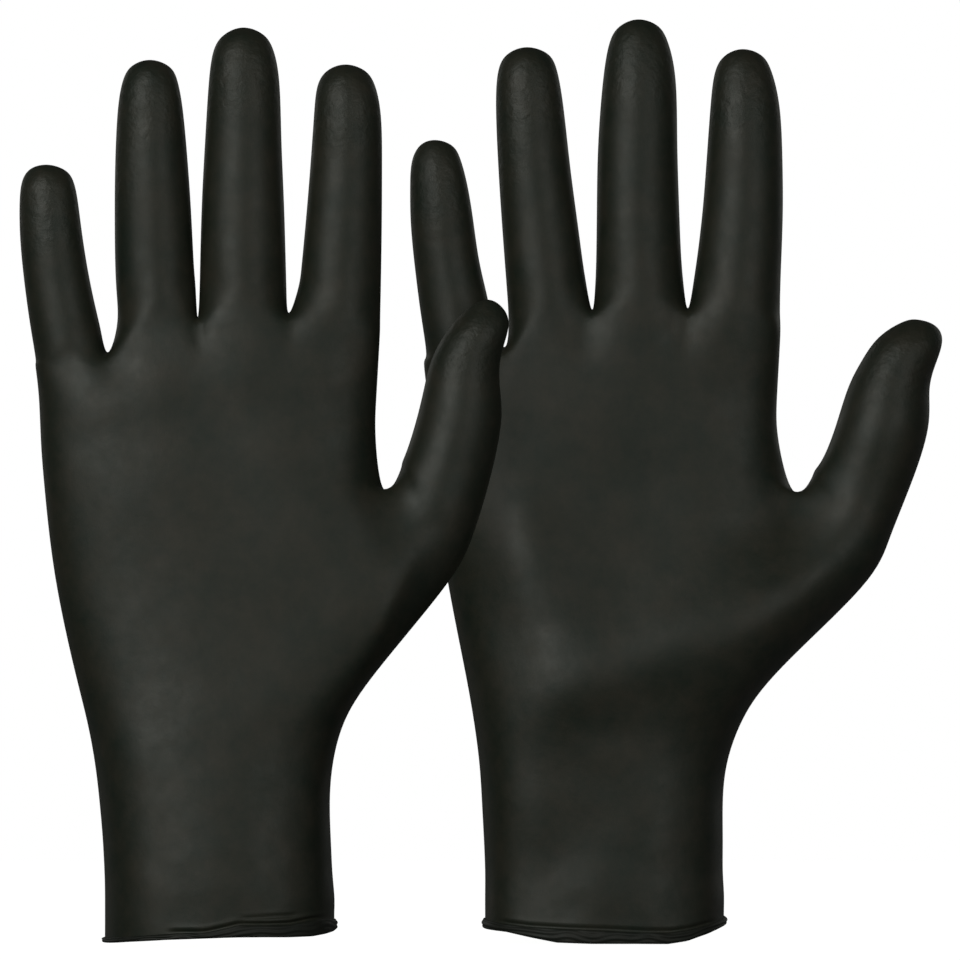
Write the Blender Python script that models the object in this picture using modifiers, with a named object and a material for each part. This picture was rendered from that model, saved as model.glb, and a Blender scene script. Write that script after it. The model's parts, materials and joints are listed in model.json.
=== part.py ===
"""A pair of dip-moulded disposable gloves, filled out, standing fingers up.

Metres, +Z up. The origin is the middle of the left glove's cuff opening. The left glove's palm
faces +Y and the right glove's palm faces -Y, so both have the thumb on the +X side.
Each glove is one film in the real object. Here the film is parted at the root of each finger,
where it bends: hand, cuff bead, and a root fold and a sleeve for each of the five fingers.
"""
import math

import bmesh
import bpy
from mathutils import Vector

MM = 0.001

# ---- driving dimensions (metres) ----
FILM = 0.12 * MM            # thickness of the dipped film
BEAD_RADIUS = 0.9 * MM      # the rolled edge of the cuff
GAP = 0.3 * MM              # free space between neighbouring pieces
GLOVE_STEP_X = 101.0 * MM   # from the left cuff's middle to the right cuff's middle
GLOVE_STEP_Y = 28.0 * MM    # the right glove stands this far behind the left one
GLOVE_STEP_Z = -0.3 * MM
RIGHT_SCALE = 1.009         # the right glove is filled out that much more
CUFF_HALF_DEPTH = 24.0 * MM
FINGER_DEPTH = 0.88         # depth of a finger for its width
TIP_DEPTH = 0.80            # the same at the fingertip
THUMB_DEPTHS = (0.98, 0.95, 0.92, 0.9, 0.86, 0.8)   # the same up the thumb
PIVOT_INSET = 3.5 * MM      # how far inside the palm face a finger folds
FULL_SIDES = 2.5            # how late the hand's section falls away towards its sides
ROUND_SIDES = 2.3           # how round it turns there
FIT_ROUNDS = 8              # passes that bring the smooth film onto the measured sections

# Sections of the hand from the cuff up: height, little-finger side, thumb side, back, palm (mm).
LEFT_HAND = (
    (12.0, -30.6, 29.4, 24.0, 24.0),
    (35.0, -32.0, 28.2, 22.3, 22.6),
    (54.0, -34.7, 30.8, 19.7, 21.5),
    (71.0, -38.7, 41.0, 17.5, 21.0),
    (95.0, -44.2, 50.0, 15.5, 18.0),
    (118.0, -46.8, 42.6, 14.5, 15.0),
    (133.5, -47.7, 40.2, 13.5, 13.5),
)
RIGHT_HAND = (
    (12.0, -31.6, 30.9, 24.0, 24.0),
    (35.0, -32.5, 30.7, 22.3, 22.6),
    (54.0, -34.2, 34.6, 19.7, 21.5),
    (71.0, -37.2, 46.4, 17.5, 21.0),
    (95.0, -41.8, 54.0, 15.5, 18.0),
    (117.0, -45.0, 49.4, 14.5, 15.0),
    (133.5, -46.3, 45.0, 13.5, 13.5),
)
# Sections of each finger from its root up: sideways, height, width (mm). The last is the tip.
LEFT_FINGERS = {
    "little": ((-40.6, 155.5, 18.7), (-41.6, 163.5, 17.7), (-44.4, 182.0, 16.2),
               (-45.6, 195.7, 14.4), (-45.8, 200.9, 10.6), (-45.8, 203.2, 0.0)),
    "ring": ((-17.4, 166.0, 21.0), (-17.6, 175.0, 20.6), (-18.3, 199.0, 19.4),
             (-18.8, 220.8, 16.2), (-18.7, 227.6, 11.6), (-18.6, 230.6, 0.0)),
    "middle": ((5.5, 169.5, 23.0), (5.5, 178.5, 22.4), (5.6, 205.0, 20.5),
               (5.7, 229.0, 17.3), (5.6, 235.7, 12.6), (5.5, 239.1, 0.0)),
    "index": ((30.4, 166.5, 22.2), (31.2, 175.0, 20.9), (32.5, 199.0, 19.1),
              (32.7, 219.5, 16.9), (32.4, 226.4, 12.6), (32.3, 229.3, 0.0)),
}
RIGHT_FINGERS = {
    "little": ((-38.2, 156.0, 18.5), (-39.6, 165.0, 17.9), (-42.6, 184.5, 16.5),
               (-44.3, 200.4, 14.1), (-44.5, 206.2, 10.2), (-44.3, 208.9, 0.0)),
    "ring": ((-15.2, 166.0, 21.4), (-16.2, 175.5, 20.4), (-18.8, 202.0, 18.8),
             (-20.4, 223.5, 16.6), (-20.6, 230.6, 12.0), (-20.7, 233.3, 0.0)),
    "middle": ((8.9, 170.0, 23.6), (8.6, 179.5, 22.2), (8.4, 207.5, 20.8),
               (8.6, 231.0, 17.2), (8.5, 237.6, 12.2), (8.4, 240.6, 0.0)),
    "index": ((34.1, 168.0, 23.6), (35.0, 177.0, 22.1), (36.3, 202.5, 20.0),
              (36.2, 222.5, 16.7), (35.9, 229.6, 12.0), (35.8, 232.8, 0.0)),
}
# Sections of each thumb: its side away from the index finger and its side towards it (mm).
LEFT_THUMB = (
    ((58.2, 92.3), (46.3, 122.3)),
    ((69.8, 119.0), (48.6, 129.0)),
    ((73.1, 134.5), (51.0, 136.5)),
    ((72.8, 148.5), (54.0, 149.0)),
    ((75.0, 158.5), (58.6, 158.9)),
    ((74.6, 164.0), (64.0, 165.0)),
    ((70.3, 167.7), (70.3, 167.7)),
)
RIGHT_THUMB = (
    ((66.8, 91.2), (53.3, 119.5)),
    ((80.0, 118.5), (56.9, 125.5)),
    ((84.6, 133.5), (60.0, 133.0)),
    ((84.9, 145.0), (64.2, 145.5)),
    ((88.1, 155.5), (71.0, 156.3)),
    ((87.0, 159.3), (76.0, 160.4)),
    ((81.8, 161.7), (81.8, 161.7)),
)
# Heights of the crotches between the fingers, and their places sideways (mm).
LEFT_WEBS = ((-29.8, 154.2), (-6.4, 163.4), (17.6, 164.5))
RIGHT_WEBS = ((-26.6, 154.5), (-3.7, 164.7), (21.6, 165.0))
# Lower edge of the cuff: height at the middle, rise over the cuff's width, drop at front and back (mm).
LEFT_RIM = (1.1, 3.1, 1.0)
RIGHT_RIM = (2.2, 1.3, 3.2)
CUFF_WIDTH = 60.0
RIM_SIDES = (0.2, 0.4)      # the lower edge's sides, out from those of the first section (mm)
# The top row of the hand (mm), where the fingers part.
SHOULDERS = ((-0.4, 150.5), (0.2, 157.5))   # its ends: out from the last section, and the height
SHOULDER_INSET = 2.2        # how far those ends turn in at the palm and at the back
SHOULDER_DEPTH = 6.5        # half the hand's depth there
WEB_DEPTH = 7.6             # half its depth at a crotch
WEB_DROP = 2.6              # how far the fold beside a crotch lies below it
ROOT_DROP = 2.0             # how far a finger's front and back lie below the line of its crotches
ROOT_TILTS = (1.0, 0.45)    # how much of that line's slope a finger's two lowest sections keep

GLOVES = {
    "left": {
        "palm": 1.0, "scale": 1.0, "offset": (0.0, 0.0, 0.0), "hand": LEFT_HAND, "fingers": LEFT_FINGERS,
        "thumb": LEFT_THUMB, "webs": LEFT_WEBS, "rim": LEFT_RIM,
    },
    "right": {
        "palm": -1.0, "scale": RIGHT_SCALE, "offset": (GLOVE_STEP_X, GLOVE_STEP_Y, GLOVE_STEP_Z),
        "hand": RIGHT_HAND, "fingers": RIGHT_FINGERS, "thumb": RIGHT_THUMB, "webs": RIGHT_WEBS,
        "rim": RIGHT_RIM,
    },
}
FINGERS = ("little", "ring", "middle", "index")
COLUMNS = 9                                     # points across the palm, and across the back
SPREAD = (0.05, 0.17, 0.285, 0.40, 0.515, 0.63, 0.745, 0.86, 0.955)
THUMB_ROWS = (3, 4, 5)                          # sections of the hand that the thumb grows from
CUFF_ROWS = 3                                   # bands of faces below the wrist
DRAWN_IN = ("cuff", "palm", "root")             # zones whose open edges stand back from the next


def clear_scene():
    """Removes whatever the open file holds."""
    for item in list(bpy.data.objects):
        bpy.data.objects.remove(item, do_unlink=True)


def new_collection(name):
    collection = bpy.data.collections.new(name)
    bpy.context.scene.collection.children.link(collection)
    return collection


def rubber(name, colour, roughness):
    """A plain rubbery finish."""
    material = bpy.data.materials.new(name)
    material.use_nodes = True
    shader = material.node_tree.nodes["Principled BSDF"]
    shader.inputs["Base Color"].default_value = (*colour, 1.0)
    shader.inputs["Roughness"].default_value = roughness
    shader.inputs["Metallic"].default_value = 0.0
    return material


def bulge(across):
    """How full the hand's section is, from 1 at its middle to 0 at its sides."""
    return (1.0 - abs(across) ** FULL_SIDES) ** (1.0 / ROUND_SIDES)


def hand_ring(height, low, high, back, palm, rise=None):
    """One section of the hand: little-finger side, the palm across, thumb side, the back across."""
    centre = (low + high) / 2
    half = (high - low) / 2
    columns = [centre + half * (2 * part - 1) for part in SPREAD]
    rise = rise or (lambda x, y: 0.0)

    def point(x, y):
        return Vector((x, y, height + rise(x, y)))

    palm_side = [point(x, palm * bulge((x - centre) / half)) for x in columns]
    back_side = [point(x, -back * bulge((x - centre) / half)) for x in reversed(columns)]
    return [point(low, 0.0), *palm_side, point(high, 0.0), *back_side]


def finger_ring(centre, across, width, depth, lean=0.0):
    """Eight points round a finger, from its thumb side over the palm side."""
    up = Vector((-across.z, 0.0, across.x))
    points = []
    for step in range(8):
        turn = math.radians(45.0 * step)
        side = width / 2 * math.cos(turn)
        points.append(centre + across * side + up * (lean * side)
                      + Vector((0.0, depth / 2 * math.sin(turn), 0.0)))
    return points


class Cage:
    """The film's coarse mesh: the points that the smooth film passes through, and its faces."""

    def __init__(self):
        self.points = []
        self.faces = []
        self.zones = []

    def add(self, points):
        first = len(self.points)
        self.points += [Vector(p) for p in points]
        return list(range(first, len(self.points)))

    def face(self, corners, zone):
        self.faces.append(corners)
        self.zones.append(zone)

    def band(self, lower, upper, zone, skip=()):
        """Faces between two closed rows. Those of the zone hand are its palm or its back."""
        count = len(lower)
        for k in range(count):
            if k in skip:
                continue
            after = (k + 1) % count
            half = "palm" if k < count / 2 else "back"
            part = half if zone == "hand" else zone
            self.face((lower[k], lower[after], upper[after], upper[k]), part)

    def cap(self, ring, centre, zone):
        """Four faces that close a row of eight points."""
        for k in range(0, 8, 2):
            self.face((ring[k], ring[k + 1], ring[(k + 2) % 8], centre), zone)


def finger_sections(cage, root, rows, tip, zones):
    """The sleeve of a finger, from its root row to its tip. zones names each band of faces."""
    lower = root
    for row, zone in zip(rows, zones):
        upper = cage.add(row)
        cage.band(lower, upper, zone)
        lower = upper
    cage.cap(lower, cage.add([tip])[0], zones[-1])


def straight_finger_rows(sections, lean):
    """Rows of points up one of the four fingers. lean tilts the lowest ones along the crotches."""
    rows = []
    centres = [Vector((x, 0.0, z)) for x, z, _ in sections]
    for k, (_, _, width) in enumerate(sections[:-1]):
        along = (centres[k + 1] - centres[max(k - 1, 0)]).normalized()
        across = Vector((along.z, 0.0, -along.x))
        flat = FINGER_DEPTH if k < len(sections) // 2 else TIP_DEPTH
        tilt = lean * ROOT_TILTS[k] if k < len(ROOT_TILTS) else 0.0
        rows.append(finger_ring(centres[k], across, width, width * flat, tilt))
    return rows


def thumb_rows(sections):
    rows = []
    for (outer, inner), flat in zip(sections, THUMB_DEPTHS):
        outer = Vector((outer[0], 0.0, outer[1]))
        inner = Vector((inner[0], 0.0, inner[1]))
        width = (outer - inner).length
        rows.append(finger_ring((outer + inner) / 2, (outer - inner) / width, width, width * flat))
    return rows


def glove_cage(glove):
    """The whole film of one glove in its own frame, in millimetres, with the palm towards +Y."""
    cage = Cage()
    middle, tilt, drop = glove["rim"]
    half_depth = CUFF_HALF_DEPTH / MM
    first = glove["hand"][0]

    def rise(x, y):
        return tilt * x / CUFF_WIDTH - drop * (y / half_depth) ** 2

    clear = (2 * BEAD_RADIUS + GAP) / MM
    rows = [cage.add(hand_ring(middle + clear, first[1] + RIM_SIDES[0], first[2] + RIM_SIDES[1],
                               half_depth, half_depth, rise))]
    rows += [cage.add(hand_ring(*section)) for section in glove["hand"]]

    # the thumb grows out of the side of the hand: its own root replaces that patch of the side
    side = COLUMNS + 1
    low, mid, high = (rows[1 + k] for k in THUMB_ROWS)
    thumb_root = [low[side], low[side - 1], mid[side - 1], high[side - 1], high[side],
                  high[side + 1], mid[side + 1], low[side + 1]]
    for number, (lower, upper) in enumerate(zip(rows, rows[1:])):
        open_side = (side - 1, side) if number - 1 in THUMB_ROWS[:2] else ()
        cage.band(lower, upper, "cuff" if number < CUFF_ROWS else "hand", open_side)
    thumb = thumb_rows(glove["thumb"])
    tip = glove["thumb"][-1][0]
    finger_sections(cage, thumb_root, thumb, (tip[0], 0.0, tip[1]),
                    ("hand", "hand", "thumb_root", "thumb", "thumb", "thumb"))

    # the top row of the hand, where the four fingers part
    fingers = [glove["fingers"][name] for name in FINGERS]
    webs = glove["webs"]
    last = glove["hand"][-1]
    (low_step, low_z), (high_step, high_z) = SHOULDERS
    edges = [(last[1] + low_step, low_z), *webs, (last[2] + high_step, high_z)]
    tops = [cage.add([(x, 0.0, z)])[0] for x, z in edges]
    palm_side, back_side = [], []
    for k, (x, z) in enumerate(edges):
        if k == 0:
            fold = (x + SHOULDER_INSET, SHOULDER_DEPTH, z)
        elif k == len(edges) - 1:
            fold = (x - SHOULDER_INSET, SHOULDER_DEPTH, z)
        else:
            fold = (x, WEB_DEPTH, z - WEB_DROP)
        palm_side += cage.add([fold])
        back_side += cage.add([(fold[0], -fold[1], fold[2])])
        if k < len(FINGERS):
            beyond_x, beyond_z = edges[k + 1]
            half = fingers[k][0][2] / 2
            ridge = ((x + beyond_x) / 2, half, (z + beyond_z) / 2 - ROOT_DROP)
            palm_side += cage.add([ridge])
            back_side += cage.add([(ridge[0], -ridge[1], ridge[2])])
    top_row = [tops[0], *palm_side, tops[-1], *reversed(back_side)]
    cage.band(rows[-1], top_row, "hand")

    for k, name in enumerate(FINGERS):
        p, b = palm_side, back_side
        root = [tops[k + 1], p[2 * k + 2], p[2 * k + 1], p[2 * k], tops[k],
                b[2 * k], b[2 * k + 1], b[2 * k + 2]]
        lean = (edges[k + 1][1] - edges[k][1]) / (edges[k + 1][0] - edges[k][0])
        rows_up = straight_finger_rows(fingers[k], lean)
        tip_x, tip_z, _ = fingers[k][-1]
        finger_sections(cage, root, rows_up, (tip_x, 0.0, tip_z),
                        ("hand", name + "_root", name, name, name))
    return cage


def limit_points(mesh):
    """Where each point of a cage comes to rest on its smooth surface."""
    found = []
    for vert in mesh.verts:
        rim = [edge.other_vert(vert).co for edge in vert.link_edges if edge.is_boundary]
        if rim:
            found.append((4.0 * vert.co + rim[0] + rim[1]) / 6.0)
            continue
        count = len(vert.link_edges)
        near = sum((edge.other_vert(vert).co for edge in vert.link_edges), Vector())
        far = Vector()
        for face in vert.link_faces:
            corners = list(face.verts)
            far += corners[(corners.index(vert) + 2) % 4].co
        found.append((count * count * vert.co + 4.0 * near + far) / (count * (count + 5)))
    return found


def smooth_film(name, glove):
    """The film of one glove as a smooth open surface, in metres, with a zone for each face."""
    cage = glove_cage(glove)
    palm = glove["palm"]
    size = glove["scale"] * MM
    wanted = [Vector((p.x, p.y * palm, p.z)) * size + Vector(glove["offset"]) for p in cage.points]
    zone_names = sorted(set(cage.zones))
    mesh = bpy.data.meshes.new(name)
    mesh.from_pydata(wanted, [], cage.faces)
    mesh.polygons.foreach_set("material_index", [zone_names.index(z) for z in cage.zones])
    shape = bmesh.new()
    shape.from_mesh(mesh)
    bmesh.ops.delete(shape, geom=[v for v in shape.verts if not v.link_faces], context="VERTS")
    bmesh.ops.recalc_face_normals(shape, faces=shape.faces[:])
    goals = [vert.co.copy() for vert in shape.verts]
    for _ in range(FIT_ROUNDS):
        for vert, goal, rest in zip(shape.verts, goals, limit_points(shape)):
            vert.co += goal - rest
    shape.to_mesh(mesh)
    shape.free()
    guide = bpy.data.objects.new(name, mesh)
    bpy.context.scene.collection.objects.link(guide)
    smooth = guide.modifiers.new("smooth film", "SUBSURF")
    smooth.levels = 1
    smooth.render_levels = 1
    bpy.context.view_layer.update()
    seen = guide.evaluated_get(bpy.context.evaluated_depsgraph_get())
    result = bmesh.new()
    result.from_mesh(seen.to_mesh())
    bpy.data.objects.remove(guide, do_unlink=True)
    return result, zone_names


def zone_mesh(film, zone, name, origin, drawn_in):
    """The faces of one zone as a mesh of its own. drawn_in pulls its open ends back by the gap."""
    part = film.copy()
    others = [face for face in part.faces if face.material_index != zone]
    bmesh.ops.delete(part, geom=others, context="FACES")
    if drawn_in:
        moves = []
        for vert in part.verts:
            inward = [e for e in vert.link_edges if not e.is_boundary]
            if vert.is_boundary:
                edges = inward or vert.link_edges
                way = sum((e.other_vert(vert).co - vert.co for e in edges), Vector())
                moves.append((vert, way.normalized() * GAP))
        for vert, move in moves:
            vert.co += move
    for face in part.faces:
        face.material_index = 0
        face.smooth = True
    bmesh.ops.translate(part, verts=part.verts[:], vec=-origin)
    mesh = bpy.data.meshes.new(name)
    part.to_mesh(mesh)
    part.free()
    return mesh


def film_piece(name, mesh, material, collection, parent):
    """A zone of the film with its real thickness, laid inwards from its outer face."""
    piece = bpy.data.objects.new(name, mesh)
    collection.objects.link(piece)
    mesh.materials.append(material)
    piece.parent = parent
    wall = piece.modifiers.new("film", "SOLIDIFY")
    wall.thickness = FILM
    wall.offset = -1.0
    wall.use_even_offset = True
    return piece


def cuff_bead(name, film, material, collection, parent, origin):
    """The rolled edge: a cord of film that follows the cuff's lower edge."""
    start = next(edge for edge in film.edges if edge.is_boundary)
    loop = [start.verts[0], start.verts[1]]
    while loop[-1] is not loop[0]:
        here = loop[-1]
        ahead = [e.other_vert(here) for e in here.link_edges if e.is_boundary]
        loop.append(ahead[0] if ahead[0] is not loop[-2] else ahead[1])
    loop.pop()
    curve = bpy.data.curves.new(name, "CURVE")
    curve.dimensions = "3D"
    curve.bevel_depth = BEAD_RADIUS
    curve.bevel_resolution = 1
    spline = curve.splines.new("POLY")
    spline.points.add(len(loop) - 1)
    down = Vector((0.0, 0.0, BEAD_RADIUS + GAP))
    for point, vert in zip(spline.points, loop):
        point.co = (*(vert.co - down - origin), 1.0)
    spline.use_cyclic_u = True
    bead = bpy.data.objects.new(name, curve)
    curve.materials.append(material)
    collection.objects.link(bead)
    bead.parent = parent


def joint_frame(name, place, parent, collection):
    """An empty at a joint, which the moving film hangs from."""
    empty = bpy.data.objects.new(name, None)
    empty.empty_display_size = 10 * MM
    collection.objects.link(empty)
    empty.parent = parent
    empty.location = place - (parent.location if parent else Vector())
    return empty


def finger_hinge(glove, name):
    """Where a finger folds, in metres: the thumb at the middle of its root fold, and the others
    just inside the palm face of theirs, so that the film creases there and stretches behind."""
    size = glove["scale"] * MM
    if name == "thumb":
        rows = [[Vector((p[0], 0.0, p[1])) for p in pair] for pair in glove["thumb"][1:3]]
        return sum((p for row in rows for p in row), Vector()) / 4 * size + Vector(glove["offset"])
    low, high = glove["fingers"][name][:2]
    half_depth = (low[2] + high[2]) / 4 * FINGER_DEPTH * size
    palmward = glove["palm"] * (half_depth - PIVOT_INSET)
    middle = Vector(((low[0] + high[0]) / 2, 0.0, (low[1] + high[1]) / 2)) * size
    return middle + Vector((0.0, palmward, 0.0)) + Vector(glove["offset"])


def build_glove(side, glove, collection, materials):
    film, zones = smooth_film(side + "_film_guide", glove)
    cuff = Vector(glove["offset"])
    hand_frame = joint_frame(side + "_glove", cuff, None, collection)
    for zone, zone_name in enumerate(zones):
        finger = zone_name.split("_")[0]
        moving = zone_name in (*FINGERS, "thumb")
        parent, origin = hand_frame, cuff
        if moving:
            origin = finger_hinge(glove, finger)
            parent = joint_frame(side + "_" + finger + "_hinge", origin, hand_frame, collection)
        name = side + "_" + zone_name + ("_sleeve" if moving else "")
        mesh = zone_mesh(film, zone, name, origin, zone_name.split("_")[-1] in DRAWN_IN)
        film_piece(name, mesh, materials["film"], collection, parent)
    cuff_bead(side + "_cuff_bead", film, materials["bead"], collection, hand_frame, cuff)
    film.free()


def main():
    clear_scene()
    collection = new_collection("disposable_gloves")
    materials = {
        "film": rubber("black nitrile film", (0.018, 0.019, 0.016), 0.45),
        "bead": rubber("black nitrile bead", (0.012, 0.013, 0.011), 0.5),
    }
    for side, glove in GLOVES.items():
        build_glove(side, glove, collection, materials)
    bpy.context.view_layer.update()


main()
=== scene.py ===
"""A pair of black dip-moulded disposable gloves with rolled cuffs, standing fingers up.

Each glove is one thin film. It is built as a coarse cage of sections, smoothed, dented and swollen
like a filled-out glove, and then parted at the root of each finger.
"""

import functools
import json
import math

import bmesh
import bpy
import numpy as np
from bpy.props import FloatProperty, FloatVectorProperty, IntProperty, PointerProperty
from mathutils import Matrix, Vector, noise


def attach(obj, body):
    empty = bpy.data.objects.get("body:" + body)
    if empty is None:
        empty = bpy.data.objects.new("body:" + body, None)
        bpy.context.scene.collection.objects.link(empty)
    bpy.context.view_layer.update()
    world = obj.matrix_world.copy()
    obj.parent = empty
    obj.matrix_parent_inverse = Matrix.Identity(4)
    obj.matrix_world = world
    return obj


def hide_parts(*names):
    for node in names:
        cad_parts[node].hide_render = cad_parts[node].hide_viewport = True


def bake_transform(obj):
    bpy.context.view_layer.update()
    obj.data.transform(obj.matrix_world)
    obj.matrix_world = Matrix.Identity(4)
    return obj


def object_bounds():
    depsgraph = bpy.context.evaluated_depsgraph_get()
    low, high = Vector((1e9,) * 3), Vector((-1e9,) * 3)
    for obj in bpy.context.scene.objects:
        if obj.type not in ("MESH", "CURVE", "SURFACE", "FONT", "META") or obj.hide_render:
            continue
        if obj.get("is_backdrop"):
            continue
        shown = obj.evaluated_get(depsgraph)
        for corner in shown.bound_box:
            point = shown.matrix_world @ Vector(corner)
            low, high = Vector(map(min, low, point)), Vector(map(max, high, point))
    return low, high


bl_info = {
    "name": "Disposable Glove Pair",
    "version": (1, 0, 0),
    "blender": (4, 5, 0),
    "location": "View3D > Sidebar > Gloves",
    "description": "Makes a pair of dip-moulded gloves with rolled cuffs and a pale studio for them",
    "category": "Add Mesh",
}

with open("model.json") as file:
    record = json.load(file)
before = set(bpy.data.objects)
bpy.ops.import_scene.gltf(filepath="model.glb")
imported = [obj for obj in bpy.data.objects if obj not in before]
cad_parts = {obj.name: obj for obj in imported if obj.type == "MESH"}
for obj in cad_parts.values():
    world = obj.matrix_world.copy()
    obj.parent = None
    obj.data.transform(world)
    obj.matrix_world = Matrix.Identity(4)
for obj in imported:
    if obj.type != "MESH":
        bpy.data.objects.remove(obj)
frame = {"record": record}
CAD_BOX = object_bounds()

MM = 0.001

# ---- sizes of the gloves: millimetres, in each glove's own frame, palm towards +Y ----
RIGHT_SCALE = 1.009         # the right glove is filled out that much more
FINGER_DEPTH = 0.88         # depth of a finger for its width
TIP_DEPTH = 0.80            # the same at the fingertip
THUMB_DEPTHS = (0.74, 0.84, 0.90, 0.92, 0.91, 0.9, 0.86, 0.8)   # the same up the thumb
THUMB_FORWARD = 1.0         # how far the thumb stands towards the palm
# How late the hand's section falls away towards its little-finger side and its thumb side: height, power.
LEFT_LITTLE_SIDE_FULL = ((60.0, 2.5), (95.0, 2.6), (118.0, 3.0), (142.0, 3.5))
RIGHT_LITTLE_SIDE_FULL = ((50.0, 3.8), (75.0, 2.8), (95.0, 2.6), (118.0, 3.0), (142.0, 3.5))
THUMB_SIDE_FULL = ((50.0, 2.5), (71.0, 5.0), (95.0, 18.0), (118.0, 4.0), (142.0, 3.3))
ROUND_SIDES = 2.3           # how full it stays before it falls away
FIT_ROUNDS = 10             # passes that bring the smooth film onto its sections
FOLD_START = 0.1            # how far above its seam with the hand a finger starts to fold
FOLD_LENGTH = 11.0          # length of finger over which its root folds
THUMB_FOLD_LENGTH = 15.0    # the same on a thumb

# Sections of the hand from the cuff up: height, little-finger side, thumb side, back, palm.
LEFT_HAND = (
    (11.5, -30.7, 29.5, 24.0, 24.0), (17.5, -30.8, 29.0, 23.7, 23.9), (25.5, -31.2, 28.6, 23.0, 23.5),
    (35.0, -32.0, 28.3, 22.0, 22.9), (45.5, -33.2, 29.0, 20.7, 22.1), (57.0, -35.3, 32.0, 19.2, 21.0),
    (71.0, -38.7, 41.0, 17.7, 19.4), (95.0, -43.7, 50.0, 15.8, 17.0), (118.0, -46.5, 42.6, 14.6, 15.0),
    (131.0, -47.5, 40.3, 13.3, 13.4), (143.0, -48.1, 40.6, 11.9, 11.9),
)
RIGHT_HAND = (
    (11.5, -31.7, 31.0, 24.0, 21.4), (17.5, -31.7, 30.7, 23.7, 21.0), (25.5, -32.0, 30.7, 23.0, 20.5),
    (35.0, -32.5, 30.7, 22.0, 20.0), (45.5, -33.2, 31.8, 20.7, 19.6), (57.0, -34.7, 35.9, 19.2, 19.3),
    (71.0, -37.2, 46.4, 17.7, 18.6), (95.0, -41.8, 54.0, 15.8, 16.4), (117.0, -45.0, 49.2, 14.6, 13.6),
    (130.0, -46.2, 45.3, 13.3, 12.4), (142.0, -46.9, 45.0, 11.9, 11.5),
)
# Sections of each finger from its root up: sideways, height, width. The last is the tip.
LEFT_FINGERS = {
    "little": ((-40.3, 156.0, 18.2), (-41.7, 163.5, 17.7), (-43.4, 173.5, 17.0), (-44.8, 184.5, 16.3),
               (-45.5, 194.0, 15.2), (-45.8, 199.4, 13.1), (-45.8, 202.2, 8.6), (-45.7, 203.4, 0.0)),
    "ring": ((-17.2, 166.5, 21.0), (-17.6, 175.0, 20.6), (-18.1, 190.0, 20.1), (-18.5, 204.0, 19.0),
             (-18.8, 217.5, 17.1), (-18.8, 225.5, 14.2), (-18.6, 229.2, 9.6), (-18.6, 230.9, 0.0)),
    "middle": ((5.5, 169.5, 22.9), (5.5, 178.5, 22.4), (5.5, 194.0, 21.5), (5.6, 210.0, 20.0),
               (5.8, 225.0, 18.5), (5.6, 233.7, 15.4), (5.5, 237.6, 9.8), (5.4, 239.4, 0.0)),
    "index": ((30.7, 166.5, 22.2), (31.3, 175.0, 21.0), (32.0, 189.0, 19.9), (32.6, 203.0, 18.8),
              (32.9, 216.0, 17.6), (32.5, 224.4, 14.8), (32.4, 228.2, 9.2), (32.4, 229.7, 0.0)),
}
RIGHT_FINGERS = {
    "little": ((-38.3, 156.5, 18.6), (-39.7, 165.0, 18.0), (-41.6, 176.0, 17.0), (-43.0, 187.5, 16.4),
               (-43.9, 197.0, 15.0), (-44.5, 203.8, 12.7), (-44.3, 207.7, 8.2), (-44.2, 209.1, 0.0)),
    "ring": ((-15.4, 166.5, 21.2), (-16.2, 175.5, 20.4), (-17.5, 188.5, 19.7), (-18.8, 202.0, 18.8),
             (-20.0, 217.5, 17.7), (-20.6, 227.6, 15.2), (-20.6, 231.8, 10.0), (-20.7, 233.5, 0.0)),
    "middle": ((8.8, 170.0, 23.4), (8.6, 179.5, 22.2), (8.4, 194.0, 21.5), (8.4, 209.0, 20.7),
               (8.8, 225.0, 19.0), (8.6, 234.8, 15.2), (8.5, 239.0, 9.8), (8.4, 240.8, 0.0)),
    "index": ((34.4, 168.0, 23.2), (35.0, 177.0, 22.1), (35.9, 190.0, 21.1), (36.4, 204.0, 19.9),
              (36.5, 217.5, 18.2), (36.0, 226.8, 14.9), (35.9, 231.2, 9.6), (35.8, 233.0, 0.0)),
}
# Sections of each thumb: its side away from the index finger and its side towards it. The last is the tip.
LEFT_THUMB = (
    ((58.2, 92.3), (46.3, 122.3)), ((65.6, 105.5), (47.3, 125.2)), ((69.8, 119.0), (48.7, 129.0)),
    ((73.1, 134.5), (51.0, 136.5)), ((73.0, 144.0), (52.9, 144.3)), ((73.1, 152.5), (55.2, 152.7)),
    ((75.1, 160.5), (60.0, 161.0)), ((74.0, 165.3), (65.5, 166.3)), ((70.3, 168.0), (70.3, 168.0)),
)
RIGHT_THUMB = (
    ((66.8, 91.4), (53.4, 119.6)), ((74.6, 105.0), (54.8, 122.3)), ((80.1, 119.0), (56.9, 125.6)),
    ((84.5, 133.5), (60.1, 133.5)), ((84.9, 143.5), (63.4, 143.7)), ((86.6, 150.5), (67.0, 151.0)),
    ((88.2, 156.5), (71.6, 157.3)), ((86.3, 160.4), (77.6, 161.2)), ((81.8, 162.0), (81.8, 162.0)),
)
# Crotches between the fingers: sideways, height.
LEFT_WEBS = ((-29.8, 154.2), (-6.4, 163.4), (17.6, 164.5))
RIGHT_WEBS = ((-26.6, 154.8), (-3.7, 164.7), (21.6, 165.0))
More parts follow.
